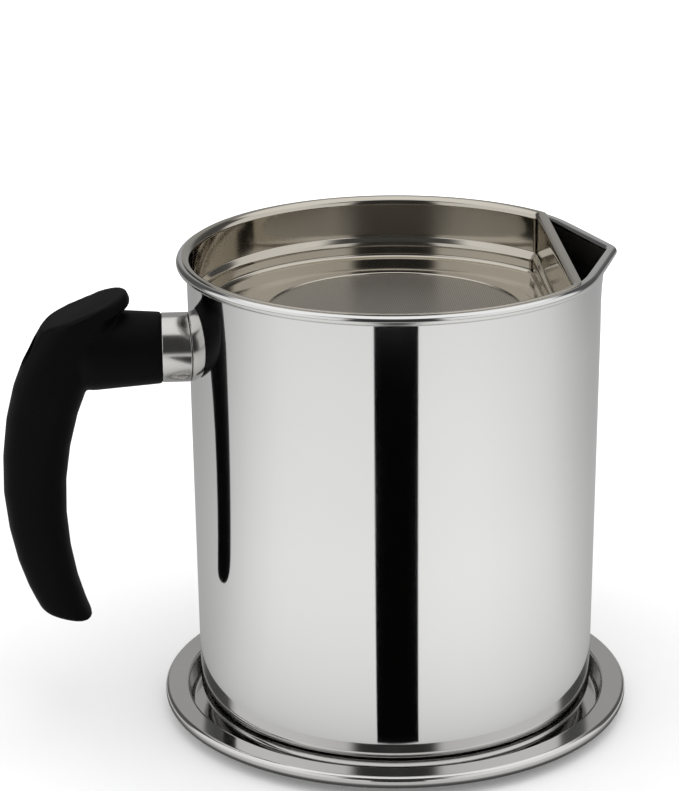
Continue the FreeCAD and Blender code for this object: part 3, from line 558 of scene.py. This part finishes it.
# The bow is extruded from section to section as a cage, and then subdivided. The cage stands a few
# percent wide of the sections, because subdividing draws the surface in.
cage_deeper, cage_wider = 1.055, 1.026
form = bmesh.new()
ring = bmesh.ops.create_circle(form, cap_ends=True, segments=16, radius=1.0)["verts"]
square_up(ring, outer=3.4, inner=2.5)
end_face = form.faces[:][0]
stood = Matrix.Identity(4)
for number, (back, finger, half_width) in enumerate(bow_sections):
    middle = Vector((-(back[0] + finger[0]) / 2, 0, (back[1] + finger[1]) / 2))
    reach = Vector((back[0] - finger[0], 0, finger[1] - back[1])) / 2
    rise = reach.cross(Vector((0, 1, 0)))
    reach *= cage_deeper
    section = Matrix((
        (reach.x, 0, rise.x, middle.x), (0, half_width * cage_wider, 0, 0),
        (reach.z, 0, rise.z, middle.z), (0, 0, 0, 1)))
    if number:
        grown = bmesh.ops.extrude_face_region(form, geom=[end_face])["geom"]
        end_face = of_kind(bmesh.types.BMFace, grown)[0]
        ring = end_face.verts[:]
    bmesh.ops.transform(form, matrix=section @ stood.inverted(), verts=ring)
    stood = section
bmesh.ops.recalc_face_normals(form, faces=form.faces)
bmesh.ops.scale(form, vec=(0.001, 0.001, 0.001), verts=form.verts)
bmesh.ops.translate(form, vec=(-wall_at_handle / 1000, 0, handle_height / 1000), verts=form.verts)
bow = new_piece("bow", form)
soft = bow.modifiers.new("soft", "SUBSURF")
soft.levels = soft.render_levels = 3
grip = evaluated_form(bow)

# Its top is cut off flat, where the thumb rest lies.
thumb_out, thumb_up, thumb_tilt = wall_at_handle + 31.6, handle_height + 14.4, -21.9
thumb_place = (Matrix.Translation((-thumb_out / 1000, 0, thumb_up / 1000))
               @ Matrix.Rotation(math.radians(thumb_tilt), 4, "Y"))
bmesh.ops.bisect_plane(grip, geom=grip.verts[:] + grip.edges[:] + grip.faces[:], clear_outer=True,
                       plane_co=thumb_place.translation, plane_no=thumb_place.col[2].xyz)
bmesh.ops.holes_fill(grip, edges=[edge for edge in grip.edges if edge.is_boundary])

# The neck stands on the ferrule's end, with a short spigot in its bore, and runs into the bow.
spigot_radius, spigot_start, neck_radius, neck_end = 9.8, 7.8, 11.3, 40
neck = bmesh.new()
bend_line(neck, [
    (0, spigot_start, 0), (spigot_radius, spigot_start, 0), (spigot_radius, ferrule_length, 0),
    (neck_radius, ferrule_length, 0), (13.2, 34.6, 5.0), (8, neck_end, 0), (0, neck_end, 0)])
spin_round(neck, 96)
bmesh.ops.transform(neck, matrix=handle_place, verts=neck.verts)

# The thumb rest is a squared oval slab with rounded edges, longer towards the back. Its top lies in
# the plane of the cut.
thumb_half_length, thumb_half_width, thumb_longer = 13.2 / 1000, 11.9 / 1000, 1.08
thumb_thick, thumb_edge = 4.5 / 1000, 1.4 / 1000
thumb = bmesh.new()
oval = bmesh.ops.create_circle(thumb, cap_ends=True, segments=64, radius=1.0)["verts"]
square_up(oval, outer=4.4, inner=2.3)
for vert in oval:
    vert.co.x *= thumb_longer if vert.co.x < 0 else 1.0
bmesh.ops.scale(thumb, vec=(thumb_half_length, thumb_half_width, 1), verts=oval)
top = of_kind(bmesh.types.BMVert,
              bmesh.ops.extrude_face_region(thumb, geom=thumb.faces[:])["geom"])
bmesh.ops.translate(thumb, vec=(0, 0, thumb_thick), verts=top)
bmesh.ops.recalc_face_normals(thumb, faces=thumb.faces)
outline = [edge for edge in thumb.edges
           if abs(edge.verts[0].co.z - edge.verts[1].co.z) < 1e-6]
bmesh.ops.bevel(thumb, geom=outline, offset=thumb_edge, segments=5, profile=0.5,
                affect="EDGES", material=-1)
bmesh.ops.translate(thumb, vec=(0, 0, -thumb_thick), verts=thumb.verts)
bmesh.ops.transform(thumb, matrix=thumb_place, verts=thumb.verts)

# The three are fused to one skin and smoothed like a moulding, most of all where the thumb rest
# meets the back.
for part in (neck, thumb):
    loose = bpy.data.meshes.new("loose")
    part.to_mesh(loose)
    part.free()
    grip.from_mesh(loose)
    bpy.data.meshes.remove(loose)
moulding = new_piece("moulding", grip)
fuse = moulding.modifiers.new("fused", "REMESH")
fuse.mode = "VOXEL"
fuse.voxel_size = 0.00042
grip = evaluated_form(moulding)
back_edge = [vert for vert in grip.verts if vert.co.x < -0.103 and vert.co.z > 0.127]
for smoothed, times in ((back_edge, 30), (grip.verts[:], 9)):
    for smoothing in range(times):
        bmesh.ops.smooth_vert(grip, verts=smoothed, factor=0.5, use_axis_x=True, use_axis_y=True,
                              use_axis_z=True)

# The screw's bore runs through the neck, and opens into the recess for its head at the back.
bore_radius, recess_radius = 2.75, 5.5
bore_start, recess_floor, bore_end = 5, 39.3, 75
bore = bmesh.new()
bend_line(bore, [
    (0, bore_start, 0), (bore_radius, bore_start, 0), (bore_radius, recess_floor, 0),
    (recess_radius, recess_floor, 0), (recess_radius, bore_end, 0), (0, bore_end, 0)])
spin_round(bore, 64)
bmesh.ops.transform(bore, matrix=handle_place, verts=bore.verts)
cutter = new_piece("bore_cutter", bore)
blank = new_piece("grip_blank", grip)
drill = blank.modifiers.new("screw_bore", "BOOLEAN")
drill.operation = "DIFFERENCE"
drill.object = cutter
grip = evaluated_form(blank)
bpy.data.objects.remove(cutter)

# Fusing leaves tiny voids inside. Only what is joined to the outer skin stays.
joined, waiting = set(), [max(grip.verts, key=lambda vert: vert.co.z)]
while waiting:
    vert = waiting.pop()
    if vert not in joined:
        joined.add(vert)
        waiting.extend(edge.other_vert(vert) for edge in vert.link_edges)
bmesh.ops.delete(grip, geom=[vert for vert in grip.verts if vert not in joined], context="VERTS")
crisp_edges(grip, 40)
handle_grip = new_piece("handle_grip_moulded", grip, phenolic)
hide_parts("handle_grip")
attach(handle_grip, "pot")


# Screw and washers: a long M5 pan head machine screw with a cross recess, a flat washer and a split
# spring washer, all zinc plated. The head sits in the recess in the grip's back.

# Zinc plated: a pale bluish grey, slightly cloudy.
zinc = steel_finish("zinc_plated_steel", "#BFC4C9", "#A9AFB6", stretch=(1, 0.2, 1),
                    line_mm=0.15, line_depth_mm=0.001, smooth=0.22, rough=0.38, smudge_mm=3)
dress_nodes(("handle_screw", "screw_washer", "spring_washer"), zinc)


# Strainer: a cup pressed from thin stainless sheet with one flat side, so that the spout stays open.
# Its flange hangs on the rim, and its wall has one small step above a wide flat floor.
def bend_points(corners):
    """The points of a bent line in millimetres, in order from its first corner to its last."""
    form = bmesh.new()
    bend_line(form, corners, segments=6)
    ends = [vert for vert in form.verts if len(vert.link_edges) == 1]
    vert = max(ends, key=lambda end: (end.co.z, end.co.x))
    points, edge = [vert.co.copy() * 1000], None
    while True:
        onward = [link for link in vert.link_edges if link != edge]
        if not onward:
            break
        edge = onward[0]
        vert = edge.other_vert(vert)
        points.append(vert.co.copy() * 1000)
    form.free()
    return points


def cup_outline(radius, chord, corner):
    """A circle with one flat side across +X and two rounded corners, as points round Z. chord is
    the flat side's distance from Z, and corner is the radius of both corners."""
    reach = radius - corner
    turn = math.acos((chord - corner) / reach)
    corner_x, corner_y = chord - corner, reach * math.sin(turn)
    round_steps, corner_steps, flat_steps = 176, 10, 16
    points = []
    for step in range(round_steps):
        angle = turn + (math.tau - 2 * turn) * step / round_steps
        points.append((radius * math.cos(angle), radius * math.sin(angle)))
    for step in range(corner_steps):
        angle = turn * step / corner_steps - turn
        points.append((corner_x + corner * math.cos(angle), corner * math.sin(angle) - corner_y))
    for step in range(flat_steps):
        points.append((chord, corner_y * (2 * step / flat_steps - 1)))
    for step in range(corner_steps):
        angle = turn * step / corner_steps
        points.append((corner_x + corner * math.cos(angle), corner * math.sin(angle) + corner_y))
    return points


strainer_sheet = 0.5
flange_height, step_top, step_foot, floor_height = 152.25, 138.9, 136.7, 132.15
flange_radius, upper_radius, lower_radius, opening_radius = 66.4, 63.75, 62.25, 41.5
flange_chord, upper_chord, lower_chord = 53.25, 50.35, 48.85
flange_corner, cup_corner = 4.0, 4.25

# Bright rolled sheet, pressed: a warm grey mirror, a little softer than the pot's. Its tone, darker
# and warmer than the pot's steel, is partly painted: it stands in for the brown shade inside the
# cup.
strainer_steel = steel_finish("pressed_bright_steel", "#C0BBB1", "#B8B2A7", stretch=lines_round_z,
                              line_mm=0.9, line_depth_mm=0.0001, smooth=0.05, rough=0.09,
                              smudge_mm=16)

# The round side's and the flat side's profiles have as many points, and each pair is one level of
# the cup. It is drawn down from its flange's edge, level by level, and then in to the opening.
round_side = bend_points([
    (flange_radius, flange_height, 0), (upper_radius, flange_height, 2.35),
    (upper_radius, step_top, 0.35), (lower_radius, step_foot, 0.8),
    (lower_radius, floor_height, 1.5), (52, floor_height, 0)])
flat_side = bend_points([
    (flange_chord, flange_height, 0), (upper_chord, flange_height, 1.6),
    (upper_chord, step_top, 0.35), (lower_chord, step_foot, 0.8),
    (lower_chord, floor_height, 1.5), (44.5, floor_height, 0)])
form = bmesh.new()
ring = [form.verts.new((x / 1000, y / 1000, round_side[0].z / 1000))
        for x, y in cup_outline(round_side[0].x, flat_side[0].x, flange_corner)]
edges = [form.edges.new((ring[number - 1], ring[number])) for number in range(len(ring))]
for outer, flat in zip(round_side[1:], flat_side[1:]):
    grown = bmesh.ops.extrude_edge_only(form, edges=edges)["geom"]
    edges = of_kind(bmesh.types.BMEdge, grown)
    fresh = set(of_kind(bmesh.types.BMVert, grown))
    next_level = {}
    for vert in fresh:
        for link in vert.link_edges:
            if link.other_vert(vert) not in fresh:
                next_level[link.other_vert(vert)] = vert
    ring = [next_level[vert] for vert in ring]
    for vert, (x, y) in zip(ring, cup_outline(outer.x, flat.x, cup_corner)):
        vert.co = (x / 1000, y / 1000, outer.z / 1000)
grown = bmesh.ops.extrude_edge_only(form, edges=edges)["geom"]
for vert in of_kind(bmesh.types.BMVert, grown):
    vert.co.x, vert.co.y = vert.co.xy.normalized() * opening_radius / 1000
strainer_body = new_piece("strainer_body_pressed", form, strainer_steel)
give_sheet(strainer_body, strainer_sheet)
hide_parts("strainer_body")
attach(strainer_body, "strainer")


# Strainer mesh: fine plain-woven stainless wire cloth, cut to a disc and laid over the opening. Its
# wires are taken to be 0.3 mm apart, and are drawn 0.6 mm apart so that the weave still shows.
wire_pitch_mm = 0.6
wire_height_mm = 0.03
weave_turn = 12
mesh_thick = 0.3
mesh_radius = 44.5
edge_height = 132.55

# Drawn and woven wire: bright wire backs, with the openings between them painted dark as the shade
# under the cloth, so the cloth looks darker than sheet.
wire_cloth = new_material("woven_steel_wire")
tree = wire_cloth.node_tree
place = add_node(tree, "ShaderNodeTexCoord")
wires = []
for turn in (0, 90):
    laid = add_node(tree, "ShaderNodeMapping", inputs={
        "Vector": place.outputs["Object"], "Rotation": (0, 0, math.radians(turn + weave_turn))})
    wires.append(add_node(tree, "ShaderNodeTexWave", {
        "wave_type": "BANDS", "bands_direction": "X"}, {
        "Vector": laid.outputs[0], "Scale": math.tau / 20 * 1000 / wire_pitch_mm,
        "Distortion": 0.0}))
over = add_node(tree, "ShaderNodeMath", {"operation": "MAXIMUM"}, {
    0: wires[0].outputs["Fac"], 1: wires[1].outputs["Fac"]})
wire_or_shaded_hole = add_node(tree, "ShaderNodeMapRange", inputs={
    "Value": over.outputs[0], "From Min": 0.25, "From Max": 0.6})
# The openings get the dark colour: painted shade for what lies under the cloth.
tone = add_node(tree, "ShaderNodeMix", {"data_type": "RGBA"}, {
    "Factor": wire_or_shaded_hole.outputs[0], 6: to_linear("#3E3B38"), 7: to_linear("#ABA69E")})
weave = add_node(tree, "ShaderNodeBump", inputs={
    "Strength": 1.0, "Distance": wire_height_mm / 1000, "Height": over.outputs[0]})
wire = add_node(tree, "ShaderNodeBsdfPrincipled", inputs={
    "Base Color": tone.outputs[2], "Metallic": 1.0, "Roughness": 0.36,
    "Normal": weave.outputs[0]})
add_node(tree, "ShaderNodeOutputMaterial", inputs={"Surface": wire.outputs[0]})

# The disc sags by a tenth of a millimetre towards its middle.
form = bmesh.new()
bend_line(form, [
    (0, 132.45, 0), (15, 132.47, 0), (30, 132.5, 0), (41, edge_height, 0),
    (mesh_radius, edge_height, 0)])
spin_round(form, 128)
strainer_screen = new_piece("strainer_screen_woven", form, wire_cloth)
give_sheet(strainer_screen, mesh_thick)
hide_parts("strainer_screen")
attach(strainer_screen, "strainer")


# Screen ring: a flat steel ring with softened upper edges, spot welded to the strainer's floor over
# the rim of the mesh. It is pressed from the same bright sheet as the strainer.
ring_inner, ring_outer, ring_step = 40.6, 45.5, 44.7
ring_foot, ring_over_mesh, ring_top = 132.4, 132.7, 133.2
form = bmesh.new()
bend_line(form, [
    (ring_inner, ring_over_mesh, 0), (ring_step, ring_over_mesh, 0), (ring_step, ring_foot, 0),
    (ring_outer, ring_foot, 0), (ring_outer, ring_top, 0.6), (43, ring_top, 0),
    (ring_inner, ring_top, 0.45), (ring_inner, ring_over_mesh, 0)], segments=5)
bmesh.ops.remove_doubles(form, verts=form.verts, dist=1e-6)
spin_round(form, 192)
crisp_edges(form, 50)
screen_ring = new_piece("screen_ring_pressed", form, strainer_steel)
keep_flats(screen_ring)
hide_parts("screen_ring")
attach(screen_ring, "strainer")
